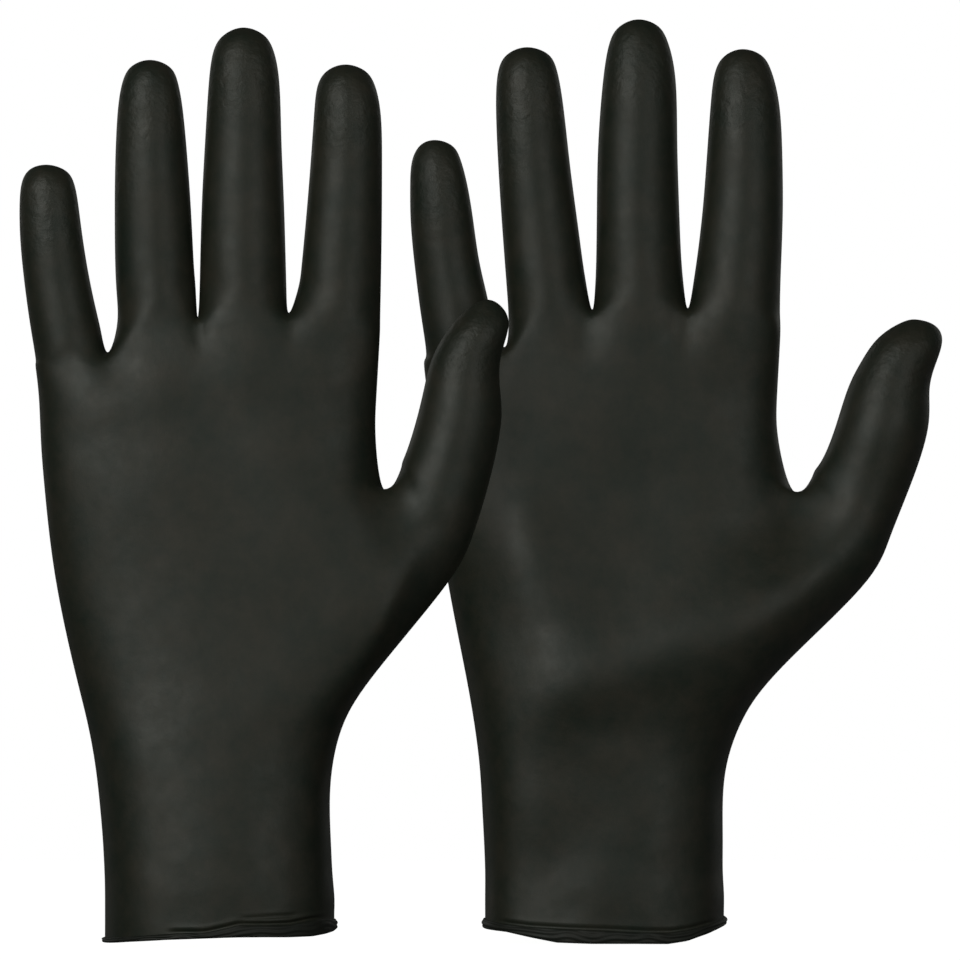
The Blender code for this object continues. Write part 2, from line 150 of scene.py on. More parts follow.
# The roll of film at the cuff, on the side that shows more of it: sideways, lower edge, upper edge.
LEFT_ROLL = (
    (-30.5, -0.5, 0.8), (-24.0, 0.2, 1.6), (-14.0, 0.9, 2.5), (-4.0, 1.3, 2.8), (1.0, 1.5, 3.8),
    (5.0, 1.6, 4.8), (12.0, 1.6, 4.7), (18.0, 1.5, 4.8), (24.0, 1.6, 5.9), (27.5, 2.1, 6.0), (30.5, 2.8, 5.6),
)
RIGHT_ROLL = (
    (-32.3, 2.4, 5.0), (-26.0, 1.9, 3.9), (-20.0, 0.6, 3.3), (-13.0, -0.7, 2.9), (-4.0, -1.0, 2.6),
    (8.0, -1.0, 2.0), (16.0, -1.1, 1.8), (21.0, -0.4, 2.4), (27.0, 1.6, 3.8), (32.0, 3.7, 5.6),
)
ROLL_TURN = 6.0             # how far either side of the middle the shown edges give way to plain ones
RIM_TUCK = 0.6              # how far the film's edge reaches down into the roll
RIM_STEP = 2.4              # height of the lowest band of faces
ROLL_LAYER = 2.3            # height of one layer of rolled film
ROLL_FULLNESS = 0.75        # power of the roll's section: 1 is an oval, less is fuller
ROLL_WANDERS = ((3.6, 3.4), (1.3, 1.6))     # how its folds wander round the cuff: fineness, how far
# Ends of the hand's top row, where the fingers part: how far out from the last section, and height,
# then the points beside each end: how far inwards, and half the depth between them.
SHOULDERS = ((-0.8, 150.5, 2.4, 5.3), (0.7, 157.5, 2.2, 6.5))
PALM_WEBS = ((8.6, 2.6), (9.0, 3.0), (9.0, 3.0))    # each crotch's fold on the palm: depth, drop
BACK_WEBS = ((8.5, 2.5), (9.2, 2.8), (9.4, 2.8))    # and on the back
RIDGE_DEPTHS = (0.45, 0.46, 0.455, 0.45)    # half the hand's depth below a finger, for its width
RIDGE_DROP = 2.0            # how far that ridge lies below the line between the crotches
ROOT_TILTS = (1.0, 0.45)    # how much of the crotches' slope a finger's two lowest sections keep

FINGERS = ("little", "ring", "middle", "index")
DIGITS = (*FINGERS, "thumb")
SPREAD = (0.05, 0.17, 0.285, 0.40, 0.515, 0.63, 0.745, 0.86, 0.955)     # points across the palm
THUMB_ROWS = (6, 7, 8)      # sections of the hand that the thumb grows from
FINGER_POINTS = 8           # points round a finger

# ---- swellings and hollows: sideways, height, reach across, reach along, turn (degrees), height ----
PALM_SWELLS = (
    (-19.5, 96.0, 12.0, 25.0, 22.0, 3.4),       # heel of the hand below the little finger
    (19.0, 77.0, 40.0, 12.5, 22.0, 4.4),        # ball of the thumb
    (12.0, 114.0, 20.0, 16.0, -10.0, -1.2),     # hollow of the palm
    (46.0, 110.5, 18.0, 11.0, 32.0, -3.6),      # valley beside the thumb
)
BACK_SWELLS = (
    (-33.0, 141.0, 9.0, 9.0, 0.0, 0.8),         # knuckles
    (-17.0, 147.0, 9.0, 9.0, 0.0, 0.8),
    (6.0, 151.0, 10.0, 10.0, 0.0, 0.9),
    (28.0, 146.0, 10.0, 10.0, 0.0, 0.7),
    (46.0, 110.0, 12.0, 8.5, 45.0, -1.0),       # valley beside the thumb
)
# Below each crotch, on the palm and on the back: aside, down, reach across, reach along, height.
PALM_WEB_HOLLOWS = ((-2.4, 5.0, 3.6, 7.0, -0.8), (-2.6, 5.0, 4.0, 7.0, -0.9), (-2.6, 5.0, 4.0, 7.0, -0.9))
BACK_WEB_HOLLOWS = ((0.5, 5.0, 4.0, 6.0, -0.4), (0.4, 3.5, 1.8, 4.5, -1.0), (-0.5, 4.0, 2.6, 4.0, -0.4))
# The right cuff isn't filled out evenly.
RIGHT_CUFF_SWELLS = (
    (-14.0, 66.0, 14.0, 12.0, 0.0, 1.2),
    (-18.0, 14.0, 14.0, 18.0, 0.0, -1.8),
    (-2.0, 48.0, 7.0, 6.0, 0.0, 0.4),
    (-4.0, 17.0, 7.0, 6.0, 0.0, 0.5),
)

# ---- folds: palm (1) or back (-1), width, depth, lip above it, then their points ----
LEFT_FOLDS = (
    (-1, 0.5, 0.5, 0.2, ((-14.0, 3.0), (-4.0, 3.1), (1.0, 4.2), (5.0, 5.2), (12.0, 5.1), (18.0, 5.2),
                         (24.0, 6.3), (28.0, 6.6))),
    (-1, 0.5, 0.3, 0.1, ((4.0, 6.3), (13.0, 6.9), (21.0, 7.3))),
    (1, 0.6, 0.4, 0.2, ((-20.0, 4.0), (-8.0, 5.0), (6.0, 6.6), (16.0, 7.4))),
)
RIGHT_FOLDS = (
    (1, 0.5, 0.4, 0.1, ((-29.0, 4.7), (-20.0, 3.7), (-10.0, 3.2), (0.0, 2.9), (10.0, 2.4), (17.0, 2.3),
                        (22.0, 3.0), (29.0, 4.9))),
    (-1, 0.6, 0.4, 0.2, ((-16.0, 5.6), (0.0, 5.0), (18.0, 5.4))),
    # faint creases of the middle, ring and little fingers
    (1, 0.9, 0.12, 0.05, ((-1.5, 186.8), (8.5, 186.2), (18.0, 187.2))),
    (1, 0.9, 0.12, 0.05, ((-27.0, 213.5), (-20.0, 212.8), (-12.0, 213.6))),
    (1, 0.9, 0.12, 0.05, ((-49.0, 182.0), (-43.0, 182.8), (-36.5, 181.6))),
)
FOLD_FADE = 3.0             # length over which a fold fades out at each end

# ---- the film's unevenness: length of its waves, their height, and what is added at the cuff ----
LONG_WAVES = (24.0, 0.35, 0.75)
SHORT_WAVES = (7.0, 0.04, 0.10)
CUFF_WAVES_TOP = 75.0       # height where that addition ends
GRIP_FADE = (17.0, 30.0)    # distances from a fingertip between which its coarser relief fades out

# palm: 1 where it faces away from the front, and -1 where it faces the front.
# shown: the side, palm (1) or back (-1), that the edges of the glove's roll are given for.
GLOVES = {
    "left": {
        "palm": 1.0, "scale": 1.0, "hand": LEFT_HAND, "fingers": LEFT_FINGERS, "thumb": LEFT_THUMB,
        "webs": LEFT_WEBS, "roll": LEFT_ROLL, "shown": -1.0, "folds": LEFT_FOLDS, "seed": 3.0,
        "palm_swells": PALM_SWELLS, "little_side_full": LEFT_LITTLE_SIDE_FULL,
    },
    "right": {
        "palm": -1.0, "scale": RIGHT_SCALE, "hand": RIGHT_HAND, "fingers": RIGHT_FINGERS,
        "thumb": RIGHT_THUMB, "webs": RIGHT_WEBS, "roll": RIGHT_ROLL, "shown": 1.0,
        "folds": RIGHT_FOLDS, "seed": 11.0, "palm_swells": (*PALM_SWELLS, *RIGHT_CUFF_SWELLS),
        "little_side_full": RIGHT_LITTLE_SIDE_FULL,
    },
}


def glove_offset(side):
    """The middle of a glove's cuff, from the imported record."""
    for mount in frame["record"]["mounts"]:
        if mount["name"] == side + "_cuff_opening":
            return Vector(mount["pos_m"])
    raise RuntimeError("the record has no cuff opening for the " + side + " glove")


def facing_way(side):
    """What a glove's own X, Y and Z are multiplied by so that its palm faces the right way."""
    return np.array((1.0, GLOVES[side]["palm"], 1.0))


def glove_to_frame(side, points):
    """Points of a glove's own frame, in millimetres, as points of the shared frame, in metres."""
    return points * facing_way(side) * (GLOVES[side]["scale"] * MM) + np.array(glove_offset(side))


def frame_to_glove(side, points):
    """The same the other way round."""
    return (points - np.array(glove_offset(side))) / (GLOVES[side]["scale"] * MM) * facing_way(side)


# ---- the film ----

def smoothstep(values, low, high):
    """0 below low, 1 above high and a smooth rise between them."""
    part = np.clip((values - low) / (high - low), 0.0, 1.0)
    return part * part * (3.0 - 2.0 * part)


def bulge(glove, across, height):
    """How full the hand's section is, from 1 at its middle to 0 at its sides."""
    table = np.array(THUMB_SIDE_FULL if across > 0.0 else glove["little_side_full"])
    full = float(np.interp(height, table[:, 0], table[:, 1]))
    return max(0.0, 1.0 - abs(across) ** full) ** (1.0 / ROUND_SIDES)


def roll_edges(glove, x, y):
    """Lower and upper edge of the cuff's roll at a place round it. The side that isn't shown is plain."""
    table = np.array(glove["roll"])
    shown = np.array([np.interp(x, table[:, 0], table[:, k]) for k in (1, 2)])
    ends = table[[0, -1]]
    plain = np.array([np.interp(x, ends[:, 0], ends[:, k]) for k in (1, 2)])
    share = float(smoothstep(np.array(y * glove["shown"]), -ROLL_TURN, ROLL_TURN))
    return plain + (shown - plain) * share


def hand_ring(glove, height, low, high, back, palm):
    """One section of the hand: little-finger side, the palm across, thumb side, the back across."""
    centre = (low + high) / 2
    half = (high - low) / 2
    columns = [centre + half * (2 * part - 1) for part in SPREAD]
    full = [bulge(glove, (x - centre) / half, height) for x in columns]
    palm_side = [Vector((x, palm * part, height)) for x, part in zip(columns, full)]
    back_side = [Vector((x, -back * part, height)) for x, part in zip(reversed(columns), reversed(full))]
    return [Vector((low, 0.0, height)), *palm_side, Vector((high, 0.0, height)), *back_side]


def rim_rings(glove):
    """The film's two lowest sections, which follow the upper edge of the roll."""
    _, low, high, back, palm = glove["hand"][0]
    rows = []
    for step in (-RIM_TUCK, RIM_STEP - RIM_TUCK):
        row = hand_ring(glove, 0.0, low, high, back, palm)
        for point in row:
            point.z = roll_edges(glove, point.x, point.y)[1] + step
        rows.append(row)
    return rows


def finger_ring(centre, across, width, depth, lean=0.0):
    """Points round a finger, from its thumb side over the palm side."""
    up = Vector((-across.z, 0.0, across.x))
    points = []
    for step in range(FINGER_POINTS):
        turn = math.tau * step / FINGER_POINTS
        side = width / 2 * math.cos(turn)
        points.append(centre + across * side + up * (lean * side)
                      + Vector((0.0, depth / 2 * math.sin(turn), 0.0)))
    return points


class Cage:
    """The film's coarse mesh: the points that the smooth film passes through, and its faces."""

    def __init__(self):
        self.points = []
        self.faces = []
        self.zones = []

    def add(self, points):
        """Adds points and gives their numbers."""
        first = len(self.points)
        self.points += [Vector(p) for p in points]
        return list(range(first, len(self.points)))

    def band(self, lower, upper, zone, skip=()):
        """Faces between two closed rows."""
        count = len(lower)
        for k in range(count):
            if k not in skip:
                after = (k + 1) % count
                self.faces.append((lower[k], lower[after], upper[after], upper[k]))
                self.zones.append(zone)

    def sleeve(self, root, rows, tip, zones):
        """A finger from its root row to its tip. zones names each band of faces."""
        lower = root
        for row, zone in zip(rows, zones):
            upper = self.add(row)
            self.band(lower, upper, zone)
            lower = upper
        centre = self.add([tip])[0]
        for k in range(0, FINGER_POINTS, 2):
            self.faces.append((lower[k], lower[k + 1], lower[(k + 2) % FINGER_POINTS], centre))
            self.zones.append(zones[-1])


def straight_finger_rows(sections, lean):
    """Rows of points up one of the four fingers. lean tilts the lowest ones along the crotches."""
    rows = []
    centres = [Vector((x, 0.0, z)) for x, z, _ in sections]
    for k, (_, _, width) in enumerate(sections[:-1]):
        along = (centres[k + 1] - centres[max(k - 1, 0)]).normalized()
        across = Vector((along.z, 0.0, -along.x))
        upwards = smoothstep(np.array(float(k)), len(sections) / 2 - 1, len(sections) - 2)
        flat = FINGER_DEPTH + (TIP_DEPTH - FINGER_DEPTH) * float(upwards)
        tilt = lean * ROOT_TILTS[k] if k < len(ROOT_TILTS) else 0.0
        rows.append(finger_ring(centres[k], across, width, width * flat, tilt))
    return rows


def thumb_rows(sections):
    """Rows of points up the thumb."""
    rows = []
    for (outer, inner), flat in zip(sections, THUMB_DEPTHS):
        outer = Vector((outer[0], 0.0, outer[1]))
        inner = Vector((inner[0], 0.0, inner[1]))
        width = (outer - inner).length
        centre = (outer + inner) / 2 + Vector((0.0, THUMB_FORWARD, 0.0))
        rows.append(finger_ring(centre, (outer - inner) / width, width, width * flat))
    return rows


def top_row(cage, glove):
    """The hand's top row: its middle line over the crotches, and its palm and back sides."""
    last = glove["hand"][-1]
    (low_step, low_z, low_inset, low_depth), (high_step, high_z, high_inset, high_depth) = SHOULDERS
    edges = [(last[1] + low_step, low_z), *glove["webs"], (last[2] + high_step, high_z)]
    tops = [cage.add([(x, 0.0, z)])[0] for x, z in edges]
    insets = (low_inset, 0.0, 0.0, 0.0, -high_inset)
    palm_folds = ((low_depth, 0.0), *PALM_WEBS, (high_depth, 0.0))
    back_folds = ((low_depth, 0.0), *BACK_WEBS, (high_depth, 0.0))
    palm_side, back_side = [], []
    for k, (x, z) in enumerate(edges):
        palm_depth, palm_drop = palm_folds[k]
        back_depth, back_drop = back_folds[k]
        palm_side += cage.add([(x + insets[k], palm_depth, z - palm_drop)])
        back_side += cage.add([(x + insets[k], -back_depth, z - back_drop)])
        if k < len(FINGERS):
            beyond_x, beyond_z = edges[k + 1]
            depth = glove["fingers"][FINGERS[k]][0][2] * RIDGE_DEPTHS[k]
            ridge = ((x + beyond_x) / 2, depth, (z + beyond_z) / 2 - RIDGE_DROP)
            palm_side += cage.add([ridge])
            back_side += cage.add([(ridge[0], -ridge[1], ridge[2])])
    return edges, tops, palm_side, back_side


def glove_cage(glove):
    """The whole film of one glove."""
    cage = Cage()
    rows = [cage.add(row) for row in rim_rings(glove)]
    rows += [cage.add(hand_ring(glove, *section)) for section in glove["hand"]]

    # the thumb grows out of the side of the hand: its own root replaces that patch of the side
    edge = len(SPREAD) + 1
    rim_rows = len(rows) - len(glove["hand"])
    low, mid, high = (rows[rim_rows + k] for k in THUMB_ROWS)
    thumb_root = [low[edge], low[edge - 1], mid[edge - 1], high[edge - 1], high[edge],
                  high[edge + 1], mid[edge + 1], low[edge + 1]]
    for number, (lower, upper) in enumerate(zip(rows, rows[1:])):
        open_faces = (edge - 1, edge) if number - rim_rows in THUMB_ROWS[:2] else ()
        cage.band(lower, upper, "hand", open_faces)
    tip = glove["thumb"][-1][0]
    cage.sleeve(thumb_root, thumb_rows(glove["thumb"]), (tip[0], THUMB_FORWARD, tip[1]),
                ("hand", "hand", "hand", *["thumb"] * (len(glove["thumb"]) - 4)))

    edges, tops, p, b = top_row(cage, glove)
    cage.band(rows[-1], [tops[0], *p, tops[-1], *reversed(b)], "hand")
    for k, name in enumerate(FINGERS):
        sections = glove["fingers"][name]
        root = [tops[k + 1], p[2 * k + 2], p[2 * k + 1], p[2 * k], tops[k],
                b[2 * k], b[2 * k + 1], b[2 * k + 2]]
        lean = (edges[k + 1][1] - edges[k][1]) / (edges[k + 1][0] - edges[k][0])
        tip_x, tip_z, _ = sections[-1]
        cage.sleeve(root, straight_finger_rows(sections, lean), (tip_x, 0.0, tip_z),
                    ("hand", *[name] * (len(sections) - 2)))
    return cage


def limit_points(mesh):
    """Where each point of a cage comes to rest on its smooth surface."""
    found = []
    for vert in mesh.verts:
        rim = [edge.other_vert(vert).co for edge in vert.link_edges if edge.is_boundary]
        if rim:
            found.append((4.0 * vert.co + rim[0] + rim[1]) / 6.0)
            continue
        count = len(vert.link_edges)
        near = sum((edge.other_vert(vert).co for edge in vert.link_edges), Vector())
        far = Vector()
        for face in vert.link_faces:
            corners = list(face.verts)
            far += corners[(corners.index(vert) + 2) % 4].co
        found.append((count * count * vert.co + 4.0 * near + far) / (count * (count + 5)))
    return found


def smoothed(cage, level):
    """The cage as a smooth surface through its points: points, faces and a zone for each face."""
    zone_names = ["hand", *DIGITS]
    mesh = bpy.data.meshes.new("film cage")
    mesh.from_pydata(cage.points, [], cage.faces)
    mesh.polygons.foreach_set("material_index", [zone_names.index(z) for z in cage.zones])
    shape = bmesh.new()
    shape.from_mesh(mesh)
    bmesh.ops.delete(shape, geom=[v for v in shape.verts if not v.link_faces], context="VERTS")
    bmesh.ops.recalc_face_normals(shape, faces=shape.faces[:])
    goals = [vert.co.copy() for vert in shape.verts]
    for _ in range(FIT_ROUNDS):
        for vert, goal, rest in zip(shape.verts, goals, limit_points(shape)):
            vert.co += goal - rest
    shape.to_mesh(mesh)
    shape.free()
    guide = bpy.data.objects.new("film cage", mesh)
    bpy.context.scene.collection.objects.link(guide)
    divide = guide.modifiers.new("smooth film", "SUBSURF")
    divide.levels = level
    divide.render_levels = level
    bpy.context.view_layer.update()
    fine = bpy.data.meshes.new_from_object(guide.evaluated_get(bpy.context.evaluated_depsgraph_get()))
    points = np.empty(len(fine.vertices) * 3)
    fine.vertices.foreach_get("co", points)
    corners = np.empty(len(fine.polygons) * 4, dtype=np.int64)
    fine.polygons.foreach_get("vertices", corners)
    zones = np.empty(len(fine.polygons), dtype=np.int64)
    fine.polygons.foreach_get("material_index", zones)
    bpy.data.objects.remove(guide, do_unlink=True)
    bpy.data.meshes.remove(fine)
    bpy.data.meshes.remove(mesh)
    return points.reshape(-1, 3), corners.reshape(-1, 4), np.array(zone_names)[zones]


def point_normals(points, faces):
    """The outward direction at each point of the film."""
    corner = points[faces]
    across = np.cross(corner[:, 2] - corner[:, 0], corner[:, 3] - corner[:, 1])
    normals = np.zeros_like(points)
    for k in range(4):
        np.add.at(normals, faces[:, k], across)
    return normals / np.linalg.norm(normals, axis=1, keepdims=True)


def swell(points, normals, way, spots):
    """Raises or sinks round spots of the palm (way 1) or the back (way -1)."""
    facing = np.clip(normals[:, 1] * way, 0.0, 1.0)
    for x, z, across, along, turn, height in spots:
        angle = math.radians(turn)
        dx = points[:, 0] - x
        dz = points[:, 2] - z
        u = dx * math.cos(angle) + dz * math.sin(angle)
        v = dz * math.cos(angle) - dx * math.sin(angle)
        share = np.exp(-(u / across) ** 2 - (v / along) ** 2)
        points[:, 1] += way * height * share * facing


def web_hollows(glove, hollows):
    """The hollow below each crotch, placed for one glove."""
    return [(x + aside, z - down, across, along, 0.0, height)
            for (x, z), (aside, down, across, along, height) in zip(glove["webs"], hollows)]


def fold(points, normals, way, width, depth, lip, path):
    """Presses a fine fold along a path, with a raised lip just above it."""
    facing = smoothstep(normals[:, 1] * way, 0.05, 0.35)
    flat = points[:, [0, 2]]
    nearest = np.full(len(points), 1e9)
    signed = np.zeros(len(points))
    along = np.zeros(len(points))
    path = np.array(path)
    lengths = np.linalg.norm(np.diff(path, axis=0), axis=1)
    done = 0.0
    for start, end, length in zip(path, path[1:], lengths):
        ahead = (end - start) / length
        reach = np.clip((flat - start) @ ahead, 0.0, length)
        away = flat - (start + reach[:, None] * ahead)
        distance = np.linalg.norm(away, axis=1)
        closer = distance < nearest
        nearest = np.where(closer, distance, nearest)
        signed = np.where(closer, away @ np.array([-ahead[1], ahead[0]]), signed)
        along = np.where(closer, done + reach, along)
        done += length
    ends = np.minimum(smoothstep(along, 0.0, FOLD_FADE), smoothstep(done - along, 0.0, FOLD_FADE))
    profile = lip * np.exp(-((signed - 2.0 * width) / width) ** 2) - depth * np.exp(-(nearest / width) ** 2)
    near = np.exp(-(nearest / (4.0 * width)) ** 4)
    points += normals * (profile * near * ends * facing)[:, None]


def ripple(points, normals, seed):
    """The film's slight unevenness: long soft waves and shorter ones, all stronger at the cuff."""
    shift = Vector((seed, 2.0 * seed, 0.0))
    waves = np.zeros(len(points))
    for k, point in enumerate(points):
        at_cuff = max(0.0, 1.0 - point[2] / CUFF_WAVES_TOP)
        for length, height, added in (LONG_WAVES, SHORT_WAVES):
            waves[k] += noise.noise(Vector(point) / length + shift) * (height + added * at_cuff)
    facing = np.abs(normals[:, 1])
    points += normals * (waves * facing)[:, None]


def fingertips(glove):
    """The tips of the five digits."""
    tips = [glove["fingers"][name][-1][:2] for name in FINGERS]
    tips.append(glove["thumb"][-1][0])
    return [np.array((x, 0.0, z)) for x, z in tips]


@functools.lru_cache(maxsize=None)
def glove_film(side, level):
    """The finished film of one glove in metres: points, faces, zones, normals and fingertip grip."""
    glove = GLOVES[side]
    points, faces, zones = smoothed(glove_cage(glove), level)
    normals = point_normals(points, faces)
    swell(points, normals, 1.0, [*glove["palm_swells"], *web_hollows(glove, PALM_WEB_HOLLOWS)])
    swell(points, normals, -1.0, [*BACK_SWELLS, *web_hollows(glove, BACK_WEB_HOLLOWS)])
    ripple(points, normals, glove["seed"])
    normals = point_normals(points, faces)
    for way, width, depth, lip, path in glove["folds"]:
        fold(points, normals, way, width, depth, lip, path)
    normals = point_normals(points, faces)
    distance = np.min([np.linalg.norm(points - tip, axis=1) for tip in fingertips(glove)], axis=0)
    grip = 1.0 - smoothstep(distance, *GRIP_FADE)
    if glove["palm"] < 0.0:
        faces = faces[:, ::-1]
    return glove_to_frame(side, points), faces, zones, normals * facing_way(side), grip


# ---- making pieces ----

def open_edges(faces):
    """The sides of faces that no other face shares, each as its two points in turn."""
    edges = {tuple(pair) for k in range(4) for pair in faces[:, [k, (k + 1) % 4]].tolist()}
    return sorted((a, b) for a, b in edges if (b, a) not in edges)


def film_piece(name, side, zone, settings, material):
    """One zone of a glove's film as a closed body of the film's thickness."""
    points, faces, zones, normals, grip = glove_film(side, settings.smoothness)
    used, local = np.unique(faces[zones == zone], return_inverse=True)
    outer_faces = local.reshape(-1, 4)
    count = len(used)
    outer = points[used]
    inner = outer - normals[used] * settings.thickness
    edge_faces = [(b, a, a + count, b + count) for a, b in open_edges(outer_faces)]
    mesh = bpy.data.meshes.new(name)
    mesh.from_pydata(np.concatenate([outer, inner]).tolist(), [],
                     [*outer_faces.tolist(), *(outer_faces[:, ::-1] + count).tolist(), *edge_faces])
    mesh.shade_smooth()
    smooth = normals[used][outer_faces.reshape(-1)]
    inside = -normals[used][outer_faces[:, ::-1].reshape(-1)]
    rim = [mesh.polygons[2 * len(outer_faces) + k].normal for k in range(len(edge_faces)) for _ in range(4)]
    mesh.normals_split_custom_set([*smooth.tolist(), *inside.tolist(), *[tuple(n) for n in rim]])
    mask = mesh.attributes.new("grip", "FLOAT", "POINT")
    mask.data.foreach_set("value", np.tile(grip[used], 2).astype(np.float32))
    mesh.materials.append(material)
    piece = bpy.data.objects.new(name, mesh)
    bpy.context.scene.collection.objects.link(piece)
    return piece


def fold_band(side, digit):
    """Where a finger starts to fold and where it has turned fully, from its seam with the hand."""
    points, faces, zones, _, _ = glove_film(side, bpy.context.scene.glove_film.smoothness)
    own = np.unique(faces[zones == digit])
    hand = np.unique(faces[zones == "hand"])
    seam = points[np.intersect1d(own, hand)]
    middle = seam.mean(axis=0)
    _, _, axes = np.linalg.svd(seam - middle)
    way = axes[2] if axes[2] @ (points[own].mean(axis=0) - middle) > 0.0 else -axes[2]
    start = middle + way * (np.max((seam - middle) @ way) + FOLD_START * MM)
    length = THUMB_FOLD_LENGTH if digit == "thumb" else FOLD_LENGTH
    return start, start + way * (length * MM)


def roll_loop(side, level):
    """The film's lower edge as a closed loop of points in the glove's own frame."""
    points, faces, _, _, _ = glove_film(side, level)
    after = dict(open_edges(faces))
    start = min(after)
    loop = [start]
    while after[loop[-1]] != start:
        loop.append(after[loop[-1]])
    return frame_to_glove(side, points[loop])


def outward_ways(loop):
    """The level direction straight out from the film at each point of its lower edge."""
    ahead = np.roll(loop, -1, axis=0) - np.roll(loop, 1, axis=0)
    outward = np.stack([ahead[:, 1], -ahead[:, 0], np.zeros(len(loop))], axis=1)
    outward /= np.linalg.norm(outward, axis=1, keepdims=True)
    if np.mean(np.sum(outward[:, :2] * loop[:, :2], axis=1)) < 0.0:
        outward = -outward
    return outward


def roll_wander(turn, seed):
    """How far the roll's folds have wandered at a place round the cuff."""
    wander = 0.0
    for number, (fineness, far) in enumerate(ROLL_WANDERS):
        place = Vector((fineness * math.cos(turn), fineness * math.sin(turn), seed + 7.0 * number))
        wander += far * noise.noise(place)
    return wander


def roll_section(glove, place, outward, wander, settings):
    """Points round the roll at one place of the cuff. Only its outer side has folds."""
    low, high = roll_edges(glove, place[0], place[1])
    layers = 1.0 + (high - low) / ROLL_LAYER
    points = []
    for step in range(settings.points_around):
        angle = math.tau * step / settings.points_around
        height = math.cos(angle)
        out = math.sin(angle)
        full = math.copysign(abs(out) ** ROLL_FULLNESS, out)
        if out > 0.0:
            ridge = abs(math.sin(math.pi * layers * (1.0 - height) / 2 + wander))
            full *= 1.0 - settings.fold_depth * (1.0 - ridge)
        spot = place + outward * (settings.bulge / MM * full)
        points.append((spot[0], spot[1], (low + high) / 2 + (high - low) / 2 * height))
    return points


def cuff_roll(name, side, film, settings, material):
    """The rolled edge of the cuff: a flattened cord of film with folds that wander round it."""
    glove = GLOVES[side]
    loop = roll_loop(side, film.smoothness)
    count = len(loop)
    around = settings.points_around
    points = []
    for k, (place, outward) in enumerate(zip(loop, outward_ways(loop))):
        wander = roll_wander(math.tau * k / count, glove["seed"])
        points += roll_section(glove, place, outward, wander, settings)
    faces = [(k * around + j, k * around + (j + 1) % around,
              (k + 1) % count * around + (j + 1) % around, (k + 1) % count * around + j)
             for k in range(count) for j in range(around)]
    mesh = bpy.data.meshes.new(name)
    mesh.from_pydata(glove_to_frame(side, np.array(points)).tolist(), [], faces)
    shape = bmesh.new()
    shape.from_mesh(mesh)
    bmesh.ops.recalc_face_normals(shape, faces=shape.faces[:])
    shape.to_mesh(mesh)
    shape.free()
    mesh.shade_smooth()
    mesh.materials.append(material)
    piece = bpy.data.objects.new(name, mesh)
    bpy.context.scene.collection.objects.link(piece)
    return piece


# ---- finishes ----

# Darkest and lightest tone of the film: where it is reached in the noise, and its share of the colour.
TONES = ((0.32, (0.50, 0.74, 0.70)), (0.68, (1.50, 1.26, 1.30)))
SATIN_SPREAD = 0.06         # how far the roughness varies either way


def speckle(tree, place, scale, detail, roughness=0.5):
    """Noise that stays fixed to the film. The larger its scale, the finer it is."""
    node = tree.nodes.new("ShaderNodeTexNoise")
    node.inputs["Scale"].default_value = scale
    node.inputs["Detail"].default_value = detail
    node.inputs["Roughness"].default_value = roughness
    tree.links.new(place.outputs["Object"], node.inputs["Vector"])
    return node.outputs["Fac"]


def relief(tree, height, strength, distance, under=None):
    """Bumps made from a height, laid over any that are under them."""
    node = tree.nodes.new("ShaderNodeBump")
    node.inputs["Strength"].default_value = strength
    node.inputs["Distance"].default_value = distance
    tree.links.new(height, node.inputs["Height"])
    if under is not None:
        tree.links.new(under, node.inputs["Normal"])
    return node.outputs["Normal"]


def nitrile(name, colour, roughness, grain):
    """Black nitrile rubber: uneven near-black, satin, with a fine grain that is coarser at the fingertips."""
    material = bpy.data.materials.new(name)
    material.use_nodes = True
    tree = material.node_tree
    shader = tree.nodes["Principled BSDF"]
    shader.inputs["IOR"].default_value = 1.5
    place = tree.nodes.new("ShaderNodeTexCoord")

    tone = tree.nodes.new("ShaderNodeValToRGB")
    for stop, (position, shares) in zip(tone.color_ramp.elements, TONES):
        stop.position = position
        stop.color = (*[share * part for share, part in zip(shares, colour)], 1.0)
    tree.links.new(speckle(tree, place, 90.0, 6.0, 0.72), tone.inputs["Fac"])
    tree.links.new(tone.outputs["Color"], shader.inputs["Base Color"])

    satin = tree.nodes.new("ShaderNodeMapRange")
    satin.inputs["From Min"].default_value = 0.3
    satin.inputs["From Max"].default_value = 0.7
    satin.inputs["To Min"].default_value = roughness - SATIN_SPREAD
    satin.inputs["To Max"].default_value = roughness + SATIN_SPREAD
    tree.links.new(speckle(tree, place, 160.0, 6.0, 0.7), satin.inputs["Value"])
    tree.links.new(satin.outputs["Result"], shader.inputs["Roughness"])

    film_grain = relief(tree, speckle(tree, place, 2400.0, 3.0), 0.35, grain)
    film_waves = relief(tree, speckle(tree, place, 260.0, 4.0, 0.6), 0.5, 6.0 * grain, film_grain)
    grip = tree.nodes.new("ShaderNodeAttribute")
    grip.attribute_name = "grip"
    pattern = tree.nodes.new("ShaderNodeMath")
    pattern.operation = "MULTIPLY"
    tree.links.new(speckle(tree, place, 520.0, 2.0), pattern.inputs[0])
    tree.links.new(grip.outputs["Fac"], pattern.inputs[1])
    tip_grain = relief(tree, pattern.outputs["Value"], 0.9, 11.0 * grain, film_waves)
    tree.links.new(tip_grain, shader.inputs["Normal"])
    return material


# ---- studio ----

LIGHT_COLOUR = (0.98, 1.0, 0.93)
PAIR_MIDDLE = (CAD_BOX[0] + CAD_BOX[1]) / 2
CAMERA_ASIDE = -0.9 * MM    # how far the camera stands off the pair's middle
CAMERA_RAISE = 0.15 * MM


